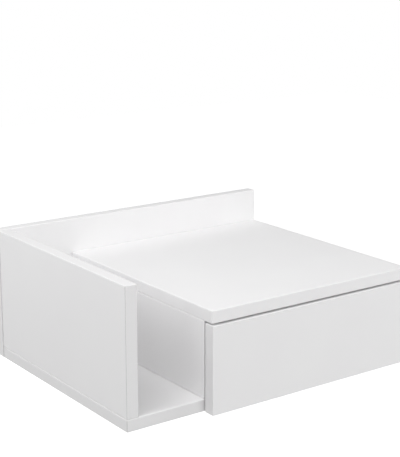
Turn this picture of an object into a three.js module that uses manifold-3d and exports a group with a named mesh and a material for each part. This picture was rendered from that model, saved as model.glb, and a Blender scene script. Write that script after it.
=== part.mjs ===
// Wall-hung nightstand of white wrapped board. An open-topped slot for books stands at the left, and a
// drawer with no handle runs at the right, under a top that overhangs it. A back panel as wide and as
// high as the whole cabinet carries it on two keyhole hangers.
// Millimetres. In the cabinet group X is 0 at mid-width, Y is 0 at the wall and Z is 0 at the underside.
// The finished part has its origin on the wall, at mid-width, level with the two wall screws.

import * as THREE from "three";
import { RoundedBoxGeometry } from "three/addons/geometries/RoundedBoxGeometry.js";
import { mergeVertices } from "three/addons/utils/BufferGeometryUtils.js";
import Module from "manifold-3d";

const wasm = await Module();
wasm.setup();

// Cabinet: overall size, boards and the gaps round the drawer front.
const width = 400;
const depth = 320;
const height = 165;
const board = 15;
const upstand = 43;
const slotWidth = 87;
const frontGap = 2;
const frontTopGap = 2;
const topOverhang = 15;
const panelRound = 1;
const frontRound = 1.6;

// Drawer box: boards, the space under, over and behind it, and the groove for its bottom.
const boxBoard = 12;
const boxBelow = 8;
const boxAbove = 12;
const latchSpace = 40;
const boxRound = 0.6;
const bottomThickness = 3;
const bottomRise = 8;
const grooveDepth = 6;

// Ball-bearing slides: section, running gaps, balls and stop tabs.
const slideHeight = 35;
const slideThickness = 12.5;
const slideSheet = 1;
const slideSetback = 2;
const slideTravelShare = 0.75;
const ballRadius = 1.75;
const ballGap = 0.2;
const ballPitch = 8;
const ballsPerRow = 6;
const ballPlaceShare = 0.52;
const shoulderDrop = 1.4;
const lipEnd = THREE.MathUtils.degToRad(5);
const cageSheet = 0.8;
const cageEnd = 6;
const cageReachShare = 0.95;
const stopWidth = 8;
const slideScrewInset = 32;

// Wall hangers: two steel keyhole plates let into the back of the back panel, near its top edge.
const hangDrop = 25;
const hangerSpacing = 300;
const plateWidth = 16;
const plateLength = 46;
const plateThickness = 2;
const plateCorner = 4;
const keyholeEntryRadius = 5;
const keyholeSlotWidth = 5;
const keyholeDrop = 10;
const headPocketWidth = 13;
const headPocketDepth = 7;
const plateScrewInset = 4;

// Push-to-open latch behind the drawer.
const latchFlangeWidth = 14;
const latchFlangeHeight = 44;
const latchFlange = 3;
const latchBarrelRadius = 6.5;
const latchScrewInset = 7;
const plungerRadius = 3.5;
const plungerInside = 16;
const plungerCapRadius = 5;
const plungerCap = 3;
const plungerStroke = 2;
const strikeRadius = 8;
const strikeThickness = 1;

// Places of the fixings along the boards.
const baseScrewInset = 40;
const sideScrewHeight = 110;
const bottomScrewInset = 60;
const topScrewInset = 75;
const topCamInset = 40;
const boxCamDrop = 10;
const boxScrewInset = 6;
const screwCover = 3;

// Free space round a fitted piece, how far a cut runs past the face that it opens, and the sides of a
// round fitting.
const clearance = 0.3;
const overrun = 1;
const roundSides = 16;

// Screws, from the head's face to the tip. A sunk head is flush, and a pan head stands on the surface.
const boardScrew = {
  head: "sunk",
  headRadius: 4.8,
  headHeight: 2,
  shankRadius: 3.2,
  length: 50,
  point: 4,
  socketRadius: 1.9,
  socketDepth: 2.4,
  sides: 10,
};
const boxScrew = {
  head: "sunk",
  headRadius: 3.8,
  headHeight: 1.8,
  shankRadius: 2,
  length: 40,
  point: 3,
  socketRadius: 1.4,
  socketDepth: 1.5,
  sides: 8,
};
const plateScrew = {
  head: "sunk",
  headRadius: 2.7,
  headHeight: 1.3,
  shankRadius: 1.4,
  length: board - screwCover,
  point: 2,
  socketRadius: 0.9,
  socketDepth: 0.8,
  sides: 8,
};
const bottomScrew = { ...plateScrew, length: 16 };
const outerSlideScrew = {
  head: "pan",
  headRadius: 3,
  headHeight: 1.2,
  shankRadius: 1.6,
  length: slideSheet + board - screwCover,
  point: 2,
  socketRadius: 1,
  socketDepth: 0.7,
  sides: 8,
};
const innerSlideScrew = { ...outerSlideScrew, length: slideSheet + boxBoard - screwCover };
const latchScrew = { ...outerSlideScrew, headHeight: 1.8, length: latchFlange + board - screwCover };

// Cam fittings: a bolt screwed into one board, and a cam sunk in the next that draws its head in.
const boardCam = {
  radius: 7.2,
  depth: board - screwCover,
  reach: 20,
  axisDepth: board / 2,
  slotWidth: 2,
  slotDepth: 1.5,
  slotLength: 9,
};
const boxCam = {
  radius: 5.8,
  depth: boxBoard - screwCover,
  reach: 24,
  axisDepth: boxBoard / 2,
  slotWidth: 1.6,
  slotDepth: 1.2,
  slotLength: 7,
};
const camBolt = {
  threadRadius: 2.5,
  threadLength: 10,
  collarRadius: 3.2,
  collarHeight: 1.2,
  stemRadius: 2,
  headRadius: 2.2,
  headHeight: 3,
  neckRadius: 1.4,
  neckLength: 2.5,
  sides: 8,
};

// Finishes.
const finish = (color, roughness, metalness) =>
  new THREE.MeshStandardMaterial({ color, roughness, metalness });
const whiteBoard = finish(0xf1f1ef, 0.45, 0);
const whiteBox = finish(0xeceae6, 0.55, 0);
const zincSteel = finish(0xb9bcbe, 0.35, 0.9);
const zincCasting = finish(0xa6a8aa, 0.5, 0.8);
const greyNylon = finish(0x8d9194, 0.55, 0);
const whiteNylon = finish(0xe2e2de, 0.5, 0);

// Planes that the boards share.
const leftOuter = -width / 2;
const rightOuter = width / 2;
const sideInner = leftOuter + board;
const dividerLeft = sideInner + slotWidth;
const dividerRight = dividerLeft + board;
const rightInner = rightOuter - board;
const backFront = -board;
const frontFace = -depth;
const frontBack = frontFace + board;
const carcassFront = frontBack + frontGap;
const floorTop = board;
const topSurface = height - upstand;
const topUnderside = topSurface - board;
const hangHeight = height - hangDrop;
const bayMiddle = (dividerRight + rightInner) / 2;

// Planes of the drawer box, which hangs between the two slides.
const boxLeft = dividerRight + slideThickness;
const boxRight = rightInner - slideThickness;
const boxFront = frontBack;
const boxRear = backFront - latchSpace;
const boxBottom = floorTop + boxBelow;
const boxTop = topUnderside - boxAbove;
const bottomUnder = boxBottom + bottomRise;
const bottomOver = bottomUnder + bottomThickness;
const slideCentre = (boxBottom + boxTop) / 2;

const along = {
  left: new THREE.Vector3(-1, 0, 0),
  right: new THREE.Vector3(1, 0, 0),
  forward: new THREE.Vector3(0, -1, 0),
  rearward: new THREE.Vector3(0, 1, 0),
  down: new THREE.Vector3(0, 0, -1),
  up: new THREE.Vector3(0, 0, 1),
};

const cabinet = new THREE.Group();
const carcass = new THREE.Group();
const drawer = new THREE.Group();
const leftSlide = new THREE.Group();
const rightSlide = new THREE.Group();
cabinet.add(carcass, drawer, leftSlide, rightSlide);

// Meshes that are bored for the fittings that reach them, and the shapes that those fittings need cut.
const bored = [];
const bores = [];

// A closed solid from a geometry: shared vertices are merged, and collapsed triangles at a pole left out.
function solidOf(geometry) {
  const bare = geometry.clone();
  bare.deleteAttribute("normal");
  bare.deleteAttribute("uv");
  const merged = mergeVertices(bare);
  const corners = merged.index.array;
  const triangles = [];
  for (let at = 0; at < corners.length; at += 3) {
    const [a, b, c] = corners.slice(at, at + 3);
    if (a !== b && b !== c && c !== a) {
      triangles.push(a, b, c);
    }
  }
  const mesh = new wasm.Mesh({
    numProp: 3,
    vertProperties: Float32Array.from(merged.attributes.position.array),
    triVerts: Uint32Array.from(triangles),
  });
  return new wasm.Manifold(mesh);
}

function geometryOf(solid) {
  const { vertProperties, triVerts } = solid.getMesh();
  const geometry = new THREE.BufferGeometry();
  geometry.setAttribute("position", new THREE.BufferAttribute(vertProperties, 3));
  geometry.setIndex(new THREE.BufferAttribute(triVerts, 1));
  geometry.computeVertexNormals();
  return geometry;
}

const cut = (geometry, ...tools) =>
  geometryOf(tools.reduce((solid, tool) => solid.subtract(solidOf(tool)), solidOf(geometry)));
const join = (geometry, ...others) =>
  geometryOf(others.reduce((solid, other) => solid.add(solidOf(other)), solidOf(geometry)));

// A box between two corners, with its edges rounded where a radius is given.
function boxBetween(low, high, round = 0) {
  const size = new THREE.Vector3(...high).sub(new THREE.Vector3(...low));
  const middle = new THREE.Vector3(...low).addScaledVector(size, 1 / 2);
  const shape = round
    ? new RoundedBoxGeometry(...size, 1, round)
    : new THREE.BoxGeometry(...size);
  return shape.translate(...middle);
}

// A solid turned about Z from [radius, z] points that start and end on the axis.
function turned(points, sides) {
  const profile = points.map(([radius, z]) => new THREE.Vector2(radius, z));
  return new THREE.LatheGeometry(profile, sides).rotateX(Math.PI / 2);
}

// A named mesh whose geometry is centred on its own place in the group.
function addPiece(group, name, geometry, material) {
  geometry.computeBoundingBox();
  const middle = geometry.boundingBox.getCenter(new THREE.Vector3());
  const mesh = new THREE.Mesh(geometry.clone().translate(...middle.clone().negate()), material);
  mesh.name = name;
  mesh.position.copy(middle);
  group.add(mesh);
  return mesh;
}

function addBored(group, name, geometry, material) {
  const mesh = addPiece(group, name, geometry, material);
  bored.push(mesh);
  return mesh;
}

// A fitting made about its own Z axis, set at a point with that axis along a direction. Its bore is cut
// from every board, plate or slide that it reaches.
function addFitting(group, name, shape, bore, at, direction, material) {
  const mesh = new THREE.Mesh(shape, material);
  mesh.name = name;
  mesh.position.set(...at);
  mesh.quaternion.setFromUnitVectors(along.up, direction);
  group.add(mesh);
  bores.push({ mesh, bore });
  return mesh;
}

function screwShape(screw) {
  const rise = screw.head === "pan" ? screw.headHeight : 0;
  const headOutline =
    screw.head === "pan"
      ? [
          [screw.headRadius, -screw.headHeight / 2],
          [screw.headRadius, 0],
          [screw.shankRadius, 0],
        ]
      : [[screw.shankRadius, screw.headHeight]];
  const rimRadius = screw.head === "pan" ? (screw.headRadius + screw.socketRadius) / 2 : screw.headRadius;
  const points = [
    [0, screw.socketDepth - rise],
    [screw.socketRadius, screw.socketDepth - rise],
    [screw.socketRadius, -rise],
    [rimRadius, -rise],
    ...headOutline,
    [screw.shankRadius, screw.length - screw.point],
    [0, screw.length],
  ];
  return turned(points, screw.sides);
}

function screwBore(screw) {
  const shaft = screw.shankRadius + clearance;
  const mouth = screw.headRadius + clearance;
  const opening =
    screw.head === "pan"
      ? [
          [0, -overrun],
          [shaft, -overrun],
        ]
      : [
          [0, -overrun],
          [mouth, -overrun],
          [mouth, 0],
          [shaft, screw.headHeight],
        ];
  const points = [...opening, [shaft, screw.length + clearance], [0, screw.length + clearance]];
  return turned(points, screw.sides);
}

function addScrew(group, name, screw, at, direction) {
  addFitting(group, name, screwShape(screw), screwBore(screw), at, direction, zincSteel);
}

// A cam bolt: its thread lies behind the board's face, where z is below 0, and the middle of its head is
// at the reach.
function boltShape(bolt, reach) {
  const headStart = reach - bolt.headHeight / 2;
  const headEnd = reach + bolt.headHeight / 2;
  const points = [
    [0, -bolt.threadLength],
    [bolt.threadRadius, -bolt.threadLength],
    [bolt.threadRadius, 0],
    [bolt.collarRadius, 0],
    [bolt.collarRadius, bolt.collarHeight],
    [bolt.stemRadius, bolt.collarHeight],
    [bolt.stemRadius, headStart - bolt.neckLength],
    [bolt.neckRadius, headStart - bolt.neckLength],
    [bolt.neckRadius, headStart],
    [bolt.headRadius, headStart],
    [bolt.headRadius, headEnd],
    [0, headEnd],
  ];
  return turned(points, bolt.sides);
}

function boltBore(bolt, reach) {
  const thread = bolt.threadRadius + clearance;
  const stem = bolt.collarRadius + clearance;
  const points = [
    [0, -bolt.threadLength - clearance],
    [thread, -bolt.threadLength - clearance],
    [thread, 0],
    [stem, 0],
    [stem, reach],
    [0, reach],
  ];
  return turned(points, bolt.sides);
}

// A cam: a disc whose face is at z 0, with a driver cross in that face and a mouth in its rim, towards its
// own X, for the bolt's head.
function camShape(cam, bolt) {
  const disc = turned(
    [
      [0, 0],
      [cam.radius, 0],
      [cam.radius, cam.depth],
      [0, cam.depth],
    ],
    roundSides,
  );
  const mouth = bolt.headRadius + clearance;
  const mouthBack = bolt.headHeight / 2 + clearance;
  const mouthCut = boxBetween(
    [-mouthBack, -mouth, cam.axisDepth - mouth],
    [cam.radius + overrun, mouth, cam.axisDepth + mouth],
  );
  const slotHalf = cam.slotWidth / 2;
  const slotReach = cam.slotLength / 2;
  const slots = [
    boxBetween([-slotReach, -slotHalf, -overrun], [slotReach, slotHalf, cam.slotDepth]),
    boxBetween([-slotHalf, -slotReach, -overrun], [slotHalf, slotReach, cam.slotDepth]),
  ];
  return cut(disc, mouthCut, ...slots);
}

function camBore(cam) {
  const radius = cam.radius + clearance;
  const points = [
    [0, -overrun],
    [radius, -overrun],
    [radius, cam.depth + clearance],
    [0, cam.depth + clearance],
  ];
  return turned(points, roundSides);
}

// A bolt standing out of one board's face at a point, along a direction, and the cam that takes its head.
// The cam is let into the next board from the side that faces outwards.
function addCamPair(group, name, cam, at, direction, outwards) {
  const bolt = boltShape(camBolt, cam.reach);
  addFitting(group, `${name}_bolt`, bolt, boltBore(camBolt, cam.reach), at, direction, zincSteel);
  const face = new THREE.Vector3(...at)
    .addScaledVector(direction, cam.reach)
    .addScaledVector(outwards, cam.axisDepth);
  const lock = camShape(cam, camBolt);
  const disc = addFitting(group, `${name}_lock`, lock, camBore(cam), face, along.up, zincCasting);
  const towardsBolt = direction.clone().negate();
  const inwards = outwards.clone().negate();
  const across = new THREE.Vector3().crossVectors(inwards, towardsBolt);
  disc.quaternion.setFromRotationMatrix(new THREE.Matrix4().makeBasis(towardsBolt, across, inwards));
}

// Carcass: back, bottom, left side, divider, right side and top, butt-jointed.
function addCarcassBoards() {
  const back = boxBetween([leftOuter, backFront, 0], [rightOuter, 0, height], panelRound);
  addBored(carcass, "back_panel", cut(back, ...hangerPockets()), whiteBoard);
  const topFront = carcassFront - topOverhang;
  const topLow = [dividerLeft, topFront, topUnderside];
  const top = boxBetween(topLow, [rightOuter, backFront, topSurface], frontRound);
  addBored(carcass, "top_panel", top, whiteBoard);
  const panels = {
    bottom_panel: { from: leftOuter, to: rightOuter, low: 0, high: floorTop },
    left_side_panel: { from: leftOuter, to: sideInner, low: floorTop, high: height },
    divider_panel: { from: dividerLeft, to: dividerRight, low: floorTop, high: topUnderside },
    right_side_panel: { from: rightInner, to: rightOuter, low: floorTop, high: topUnderside },
  };
  for (const [name, { from, to, low, high }] of Object.entries(panels)) {
    const panel = boxBetween([from, carcassFront, low], [to, backFront, high], panelRound);
    addBored(carcass, name, panel, whiteBoard);
  }
}

// Each upright stands on two screws from below. The back panel is screwed from behind to the left side,
// the bottom and the top. A cam in the divider and one in the right side draw the top down at the front.
function addCarcassFixings() {
  const rows = { front: carcassFront + baseScrewInset, rear: backFront - baseScrewInset };
  const uprights = { left_side: leftOuter, divider: dividerLeft, right_side: rightInner };
  for (const [upright, face] of Object.entries(uprights)) {
    for (const [row, y] of Object.entries(rows)) {
      addScrew(carcass, `${upright}_${row}_screw`, boardScrew, [face + board / 2, y, 0], along.up);
    }
  }
  const backScrews = {
    back_to_side_screw: [leftOuter + board / 2, sideScrewHeight],
    back_to_bottom_left_screw: [leftOuter + bottomScrewInset, board / 2],
    back_to_bottom_right_screw: [rightOuter - bottomScrewInset, board / 2],
    back_to_top_left_screw: [dividerLeft + topScrewInset, topUnderside + board / 2],
    back_to_top_right_screw: [rightOuter - topScrewInset, topUnderside + board / 2],
  };
  for (const [name, [x, z]] of Object.entries(backScrews)) {
    addScrew(carcass, name, boardScrew, [x, 0, z], along.forward);
  }
  const camRow = carcassFront + topCamInset;
  const overDivider = [dividerLeft + board / 2, camRow, topUnderside];
  const overRight = [rightInner + board / 2, camRow, topUnderside];
  addCamPair(carcass, "top_left_cam", boardCam, overDivider, along.down, along.right);
  addCamPair(carcass, "top_right_cam", boardCam, overRight, along.down, along.left);
}

const hangerPlaces = { left: -hangerSpacing / 2, right: hangerSpacing / 2 };
const plateTop = hangHeight + (plateLength - keyholeDrop) / 2;
const plateBottom = plateTop - plateLength;
const keyholeBottom = hangHeight - keyholeDrop;

// A keyhole in X and Z: a round entry with a slot that rises from it to the wall screw's place.
function keyholeOutline(x) {
  const half = keyholeSlotWidth / 2;
  const meet = Math.asin(half / keyholeEntryRadius);
  const outline = new THREE.Path();
  outline.absarc(x, hangHeight, half, 0, Math.PI, false);
  outline.absarc(x, keyholeBottom, keyholeEntryRadius, Math.PI / 2 + meet, Math.PI * 2.5 - meet, false);
  outline.closePath();
  return outline;
}

function plateOutline(x, grow) {
  const half = plateWidth / 2 + grow;
  const corner = plateCorner + grow;
  const low = plateBottom - grow;
  const high = plateTop + grow;
  const outline = new THREE.Shape();
  outline.absarc(x + half - corner, high - corner, corner, 0, Math.PI / 2, false);
  outline.absarc(x - half + corner, high - corner, corner, Math.PI / 2, Math.PI, false);
  outline.absarc(x - half + corner, low + corner, corner, Math.PI, Math.PI * 1.5, false);
  outline.absarc(x + half - corner, low + corner, corner, Math.PI * 1.5, Math.PI * 2, false);
  return outline;
}

// A shape drawn in X and Z, given a thickness along Y that starts at a plane and runs towards the front.
function slabFrom(shape, plane, thickness, curveSegments) {
  const slab = new THREE.ExtrudeGeometry(shape, { depth: thickness, bevelEnabled: false, curveSegments });
  return slab.rotateX(Math.PI / 2).translate(0, plane, 0);
}

const plateCurve = 4;

function hangerPockets() {
  return Object.values(hangerPlaces).flatMap((x) => {
    const half = headPocketWidth / 2;
    const low = keyholeBottom - half;
    const high = hangHeight + half;
    const seat = slabFrom(plateOutline(x, clearance), overrun, plateThickness + overrun, plateCurve);
    const headSpaceEnd = -plateThickness - headPocketDepth;
    return [seat, boxBetween([x - half, headSpaceEnd, low], [x + half, overrun, high])];
  });
}

function addHangers() {
  for (const [side, x] of Object.entries(hangerPlaces)) {
    const outline = plateOutline(x, 0);
    outline.holes.push(keyholeOutline(x));
    addBored(carcass, `hanger_plate_${side}`, slabFrom(outline, 0, plateThickness, plateCurve), zincSteel);
    const ends = { upper: plateTop - plateScrewInset, lower: plateBottom + plateScrewInset };
    for (const [end, z] of Object.entries(ends)) {
      addScrew(carcass, `hanger_${side}_${end}_screw`, plateScrew, [x, 0, z], along.forward);
    }
  }
}

// Slide: X runs from the mounting face to the drawer side, Y to the wall, and Z is 0 at the slide's middle.
const raceRadius = ballRadius + ballGap + slideSheet / 2;
const ballX = slideThickness * ballPlaceShare;
const ballZ = slideHeight / 2 - slideSheet / 2 - raceRadius;
const slideFront = carcassFront + slideSetback;
const slideRear = slideFront + (boxRear - boxFront);
const innerFront = boxFront + slideSetback;
const innerRear = boxRear - slideSetback;
const slideTravel = (boxRear - boxFront) * slideTravelShare;
const cageWeb = slideSheet + outerSlideScrew.headHeight + clearance + cageSheet / 2;
const arcSteps = 6;

const arc = (start, end) =>
  Array.from({ length: arcSteps + 1 }, (_, step) => {
    const angle = start + ((end - start) * step) / arcSteps;
    return new THREE.Vector2(ballX + raceRadius * Math.cos(angle), ballZ + raceRadius * Math.sin(angle));
  });

// A folded strip: the upper half of its middle line, mirrored below the slide's middle, given the sheet's
// thickness and run along Y.
function foldedStrip(upperHalf, sheet, front, rear) {
  const lowerHalf = upperHalf.map((point) => new THREE.Vector2(point.x, -point.y)).reverse();
  const line = [...upperHalf, ...lowerHalf];
  const offset = (side) =>
    line.map((point, at) => {
      const before = line[Math.max(at - 1, 0)];
      const after = line[Math.min(at + 1, line.length - 1)];
      const into = point.equals(before) ? after.clone().sub(point) : point.clone().sub(before);
      const out = point.equals(after) ? point.clone().sub(before) : after.clone().sub(point);
      const normalIn = new THREE.Vector2(-into.y, into.x).normalize();
      const normalOut = new THREE.Vector2(-out.y, out.x).normalize();
      const mitre = normalIn.clone().add(normalOut).normalize();
      return point.clone().addScaledVector(mitre, (side * sheet) / 2 / mitre.dot(normalOut));
    });
  const outline = new THREE.Shape([...offset(1), ...offset(-1).reverse()]);
  return slabFrom(outline, rear, rear - front, 1);
}

function outerSlide() {
  const web = slideSheet / 2;
  const flange = slideHeight / 2 - slideSheet / 2;
  const upperHalf = [...arc(lipEnd, Math.PI / 2), new THREE.Vector2(web, flange)];
  const strip = foldedStrip(upperHalf, slideSheet, slideFront, slideRear);
  const stopHeight = cageWeb + cageSheet;
  const stop = boxBetween(
    [web, slideFront, -stopWidth / 2],
    [stopHeight, slideFront + slideSheet, stopWidth / 2],
  );
  return join(strip, stop);
}

function innerSlide() {
  const web = slideThickness - slideSheet / 2;
  const dip = Math.asin(shoulderDrop / raceRadius);
  const upperHalf = [...arc(dip - Math.PI, -dip), new THREE.Vector2(web, ballZ - shoulderDrop)];
  const strip = foldedStrip(upperHalf, slideSheet, innerFront, innerRear);
  const stop = boxBetween(
    [cageWeb, innerRear - slideSheet, -stopWidth / 2],
    [web, innerRear, stopWidth / 2],
  );
  return join(strip, stop);
}

// The cage carries two rows of balls. It runs half as far as the drawer, so that with the drawer fully out
// it lies midway along the stretch where the two slides still overlap.
function ballCage() {
  const length = (ballsPerRow - 1) * ballPitch + 2 * cageEnd;
  const overlapMiddle = (slideFront + innerRear - slideTravel) / 2;
  const middle = overlapMiddle + slideTravel / 2;
  const tip = ballX + ballRadius * cageReachShare;
  const upperHalf = [new THREE.Vector2(tip, ballZ), new THREE.Vector2(cageWeb, ballZ)];
  const strip = foldedStrip(upperHalf, cageSheet, middle - length / 2, middle + length / 2);
  const balls = [-ballZ, ballZ].flatMap((z) =>
    Array.from({ length: ballsPerRow }, (_, at) => {
      const y = middle + (at - (ballsPerRow - 1) / 2) * ballPitch;
      return new THREE.SphereGeometry(ballRadius, 6, 4).translate(ballX, y, z);
    }),
  );
  return join(strip, ...balls);
}

function addSlide(group, side) {
  addBored(group, `slide_outer_${side}`, outerSlide(), zincSteel);
  addBored(group, `slide_inner_${side}`, innerSlide(), zincSteel);
  addPiece(group, `slide_cage_${side}`, ballCage(), zincSteel);
  const rows = { front: slideFront + slideScrewInset, rear: slideRear - slideScrewInset };
  for (const [row, y] of Object.entries(rows)) {
    addScrew(group, `slide_outer_${side}_${row}_screw`, outerSlideScrew, [slideSheet, y, 0], along.left);
    const innerFace = slideThickness - slideSheet;
    addScrew(group, `slide_inner_${side}_${row}_screw`, innerSlideScrew, [innerFace, y, 0], along.right);
  }
}

// Drawer: a front, two sides, a back that stands on the bottom, and the bottom in its grooves.
function addDrawerBoards() {
  const bottomLeft = boxLeft + boxBoard - grooveDepth;
  const bottomRight = boxRight - boxBoard + grooveDepth;
  const bottomFront = boxFront - grooveDepth;
  const groove = boxBetween(
    [bottomLeft, bottomFront, bottomUnder],
    [bottomRight, boxRear + overrun, bottomOver + clearance],
  );
  const frontTop = topUnderside - frontTopGap;
  const front = boxBetween([dividerLeft, frontFace, 0], [rightOuter, frontBack, frontTop], frontRound);
  addBored(drawer, "drawer_front", cut(front, groove), whiteBoard);
  const leftInner = boxLeft + boxBoard;
  const rightInnerFace = boxRight - boxBoard;
  const sides = { left: [boxLeft, leftInner], right: [rightInnerFace, boxRight] };
  for (const [side, [from, to]] of Object.entries(sides)) {
    const panel = boxBetween([from, boxFront, boxBottom], [to, boxRear, boxTop], boxRound);
    addBored(drawer, `drawer_side_${side}`, cut(panel, groove), whiteBox);
  }
  const backFace = boxRear - boxBoard;
  const back = boxBetween([leftInner, backFace, bottomOver], [rightInnerFace, boxRear, boxTop], boxRound);
  addBored(drawer, "drawer_back", back, whiteBox);
  const bottom = boxBetween(
    [bottomLeft + clearance, bottomFront + clearance, bottomUnder],
    [bottomRight - clearance, boxRear, bottomOver],
  );
  addBored(drawer, "drawer_bottom", bottom, whiteBox);
}

// The front is drawn onto the sides by a cam each, the sides are screwed to the back, and one screw holds
// the bottom up to the back.
function addDrawerFixings() {
  const camHeight = boxTop - boxCamDrop;
  const sides = {
    left: { face: boxLeft, outwards: along.left, inwards: along.right },
    right: { face: boxRight, outwards: along.right, inwards: along.left },
  };
  const backMiddle = boxRear - boxBoard / 2;
  for (const [side, { face, outwards, inwards }] of Object.entries(sides)) {
    const boltX = face + (inwards.x * boxBoard) / 2;
    const boltAt = [boltX, boxFront, camHeight];
    addCamPair(drawer, `drawer_${side}_cam`, boxCam, boltAt, along.rearward, outwards);
    const rows = { upper: camHeight, lower: bottomOver + boxScrewInset };
    for (const [row, z] of Object.entries(rows)) {
      addScrew(drawer, `drawer_back_${side}_${row}_screw`, boxScrew, [face, backMiddle, z], inwards);
    }
  }
  addScrew(drawer, "drawer_bottom_screw", bottomScrew, [bayMiddle, backMiddle, bottomUnder], along.up);
}

// Latch: pressing the drawer front pushes the plunger in, and its spring then throws the drawer open.
function addLatch() {
  const latchHeight = (bottomOver + boxTop) / 2;
  const strikeRear = boxRear + strikeThickness;
  const capFront = strikeRear + clearance;
  const capRear = capFront + plungerCap;
  const barrelFront = capRear + plungerStroke + clearance;
  const flangeFront = backFront - latchFlange;
  const turnedRearward = (points) => turned(points, roundSides).rotateX(-Math.PI / 2);
  const at = (geometry) => geometry.translate(bayMiddle, 0, latchHeight);

  const barrelShape = turnedRearward([
    [0, barrelFront],
    [latchBarrelRadius, barrelFront],
    [latchBarrelRadius, backFront],
    [0, backFront],
  ]);
  const flangeShape = boxBetween(
    [-latchFlangeWidth / 2, flangeFront, -latchFlangeHeight / 2],
    [latchFlangeWidth / 2, backFront, latchFlangeHeight / 2],
  );
  const plungerBore = turnedRearward([
    [0, barrelFront - overrun],
    [plungerRadius + clearance, barrelFront - overrun],
    [plungerRadius + clearance, flangeFront],
    [0, flangeFront],
  ]);
  const housing = cut(join(barrelShape, flangeShape), plungerBore);
  addBored(carcass, "latch_housing", at(housing), greyNylon);
  const ends = { upper: 1, lower: -1 };
  for (const [end, side] of Object.entries(ends)) {
    const z = latchHeight + side * (latchFlangeHeight / 2 - latchScrewInset);
    addScrew(carcass, `latch_${end}_screw`, latchScrew, [bayMiddle, flangeFront, z], along.rearward);
  }

  const plunger = turnedRearward([
    [0, capFront],
    [plungerCapRadius, capFront],
    [plungerCapRadius, capRear],
    [plungerRadius, capRear],
    [plungerRadius, barrelFront + plungerInside],
    [0, barrelFront + plungerInside],
  ]);
  addPiece(carcass, "latch_plunger", at(plunger), whiteNylon);
  const strike = turnedRearward([
    [0, boxRear],
    [strikeRadius, boxRear],
    [strikeRadius, strikeRear],
    [0, strikeRear],
  ]);
  addPiece(drawer, "latch_strike_plate", at(strike), zincSteel);
}

// Cuts from a mesh every bore whose box meets the mesh's own.
function boreForFittings(target) {
  const toTarget = target.matrixWorld.clone().invert();
  target.geometry.computeBoundingBox();
  const tools = bores
    .map(({ mesh, bore }) => bore.clone().applyMatrix4(toTarget.clone().multiply(mesh.matrixWorld)))
    .filter((tool) => {
      tool.computeBoundingBox();
      return tool.boundingBox.intersectsBox(target.geometry.boundingBox);
    });
  target.geometry = cut(target.geometry, ...tools);
}

leftSlide.position.set(dividerRight, 0, slideCentre);
rightSlide.position.set(rightInner, 0, slideCentre);
rightSlide.rotation.y = Math.PI;

addCarcassBoards();
addCarcassFixings();
addHangers();
addSlide(leftSlide, "left");
addSlide(rightSlide, "right");
addDrawerBoards();
addDrawerFixings();
addLatch();

cabinet.updateMatrixWorld(true);
bored.forEach(boreForFittings);
cabinet.position.z = -hangHeight;
cabinet.updateMatrixWorld(true);

export default cabinet;
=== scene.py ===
import math

import bmesh
import bpy
import numpy as np
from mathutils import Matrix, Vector


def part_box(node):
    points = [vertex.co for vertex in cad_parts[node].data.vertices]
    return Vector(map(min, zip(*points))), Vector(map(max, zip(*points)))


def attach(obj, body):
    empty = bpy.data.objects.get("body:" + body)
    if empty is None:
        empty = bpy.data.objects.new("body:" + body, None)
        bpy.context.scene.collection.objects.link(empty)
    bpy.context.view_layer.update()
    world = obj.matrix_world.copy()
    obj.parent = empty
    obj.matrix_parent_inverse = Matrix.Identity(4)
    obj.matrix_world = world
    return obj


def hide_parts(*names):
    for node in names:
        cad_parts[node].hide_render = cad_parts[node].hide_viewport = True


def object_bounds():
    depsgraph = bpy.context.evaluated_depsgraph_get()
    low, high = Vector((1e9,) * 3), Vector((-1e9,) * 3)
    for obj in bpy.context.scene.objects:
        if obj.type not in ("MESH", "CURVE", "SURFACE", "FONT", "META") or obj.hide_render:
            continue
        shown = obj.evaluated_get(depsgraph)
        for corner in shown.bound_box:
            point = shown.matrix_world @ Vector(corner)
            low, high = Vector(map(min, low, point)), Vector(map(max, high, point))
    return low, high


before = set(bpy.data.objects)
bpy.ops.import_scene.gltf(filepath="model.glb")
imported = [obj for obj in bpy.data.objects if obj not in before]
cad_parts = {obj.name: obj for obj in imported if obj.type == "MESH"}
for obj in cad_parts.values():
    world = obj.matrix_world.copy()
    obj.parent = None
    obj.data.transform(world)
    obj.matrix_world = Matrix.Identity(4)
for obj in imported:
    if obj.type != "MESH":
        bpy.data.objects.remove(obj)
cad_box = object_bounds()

# Carcass boards: the back, the bottom, two sides and a divider, butt-jointed, and the top that overhangs.
# Each is 15 mm fibreboard wrapped in satin white foil, whose edges are painted a shade greyer: painted shade
# that tones down the light they catch.
# The foil turns every edge in a small soft round, and a cut shows the brown core.
mm = 0.001
panel_round = 1.0 * mm
bottom_round = 1.5 * mm
top_round = 1.1 * mm
round_steps = 6
hairline = 1.0 * mm
edge_least_turn = math.radians(60)
painted_corner_half_angle = math.radians(10)
smooth_angle = math.radians(35)
merge_distance = 0.001 * mm
foil_white = "#F1F1F1"
foil_shade = "#EEEDEE"
# The edge greys are painted shade: a darker copy of the foil for the narrow edge faces.
edge_grey_painted_shade = "#EBEBEB"
edge_grey_painted_shade_tint = "#E8E7E8"
# The corner greys are painted shade: a dark line down the round of a front left corner.
corner_grey_painted_shade = "#C6C5C5"
corner_grey_painted_shade_tint = "#C2C1C1"
core_light = "#C3A57D"
core_dark = "#9C7D57"

left, right = Vector((-1, 0, 0)), Vector((1, 0, 0))
forward, rearward = Vector((0, -1, 0)), Vector((0, 1, 0))
down, up = Vector((0, 0, -1)), Vector((0, 0, 1))
made = {}


def linear(colour):
    """Red, green, blue and 1 for an sRGB hex colour, each turned linear by the sRGB curve."""
    parts = np.frombuffer(bytes.fromhex(colour[1:]), np.uint8) / 255
    curve = np.where(parts <= 0.04045, parts / 12.92, ((parts + 0.055) / 1.055) ** 2.4)
    return (*curve.tolist(), 1.0)


def new_material(name):
    """An empty node material."""
    material = bpy.data.materials.new(name)
    material.use_nodes = True
    material.node_tree.nodes.clear()
    return material


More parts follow.
